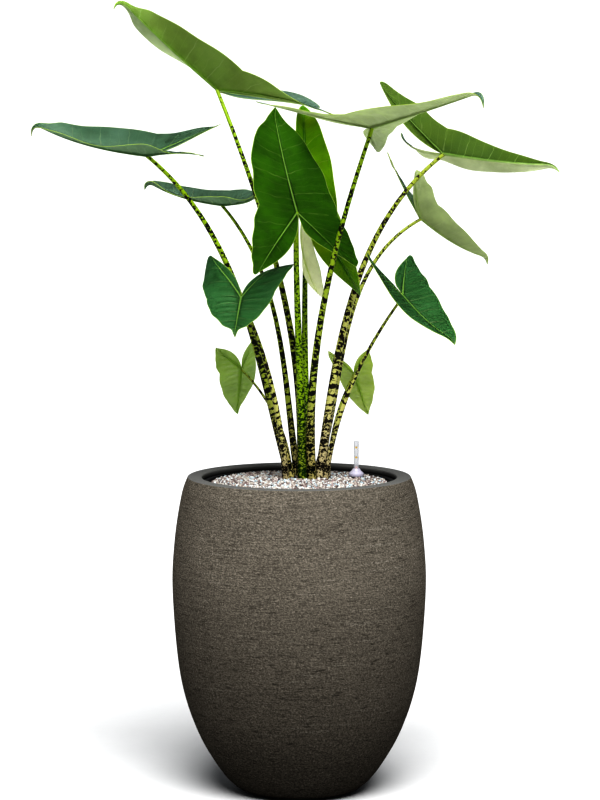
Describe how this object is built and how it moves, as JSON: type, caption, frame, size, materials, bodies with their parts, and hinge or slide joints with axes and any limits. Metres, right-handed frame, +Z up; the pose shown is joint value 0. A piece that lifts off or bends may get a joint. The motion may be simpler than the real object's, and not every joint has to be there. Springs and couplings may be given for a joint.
{
  "type": "potted zebrina alocasia",
  "caption": "Tall aroid house plant with arrow-shaped leaves on banded stems, in clay granules in a round-bellied stone planter with a water level gauge.",
  "frame": {"origin": "middle of the planter's flat foot, on the surface it stands on", "axes": "+Z up, -Y towards the front, +X to the right seen from the front"},
  "size_m": [0.8321, 0.5092, 1.2553],
  "materials": {
    "planter_stone": "matte",
    "dark_plastic": "matte",
    "granules": "matte",
    "clear_plastic": "gloss",
    "collar_plastic": "gloss",
    "float_plastic": "satin",
    "leaf_blade": "satin",
    "leaf_stem": "satin"
  },
  "bodies": {
    "planted_pot": {"planter": "planter_stone", "insert_tub": "dark_plastic", "grow_pot": "dark_plastic", "granules": "granules", "gauge_tube": "clear_plastic", "gauge_collar": "collar_plastic", "leaf_blade_1": "leaf_blade", "leaf_stem_1": "leaf_stem", "leaf_blade_2": "leaf_blade", "leaf_stem_2": "leaf_stem", "leaf_blade_3": "leaf_blade", "leaf_stem_3": "leaf_stem", "leaf_blade_4": "leaf_blade", "leaf_stem_4": "leaf_stem", "leaf_blade_5": "leaf_blade", "leaf_stem_5": "leaf_stem", "leaf_blade_6": "leaf_blade", "leaf_stem_6": "leaf_stem", "leaf_blade_7": "leaf_blade", "leaf_stem_7": "leaf_stem", "leaf_blade_8": "leaf_blade", "leaf_stem_8": "leaf_stem", "leaf_blade_9": "leaf_blade", "leaf_stem_9": "leaf_stem", "leaf_blade_10": "leaf_blade", "leaf_stem_10": "leaf_stem", "leaf_blade_11": "leaf_blade", "leaf_stem_11": "leaf_stem", "leaf_blade_12": "leaf_blade", "leaf_stem_12": "leaf_stem"},
    "float": {"gauge_float": "float_plastic"}
  },
  "joints": [
    {"name": "float_rise", "type": "slide", "parent": "planted_pot", "child": "float", "axis": [0, 0, 1], "range_m": [0, 0.03]}
  ]
}
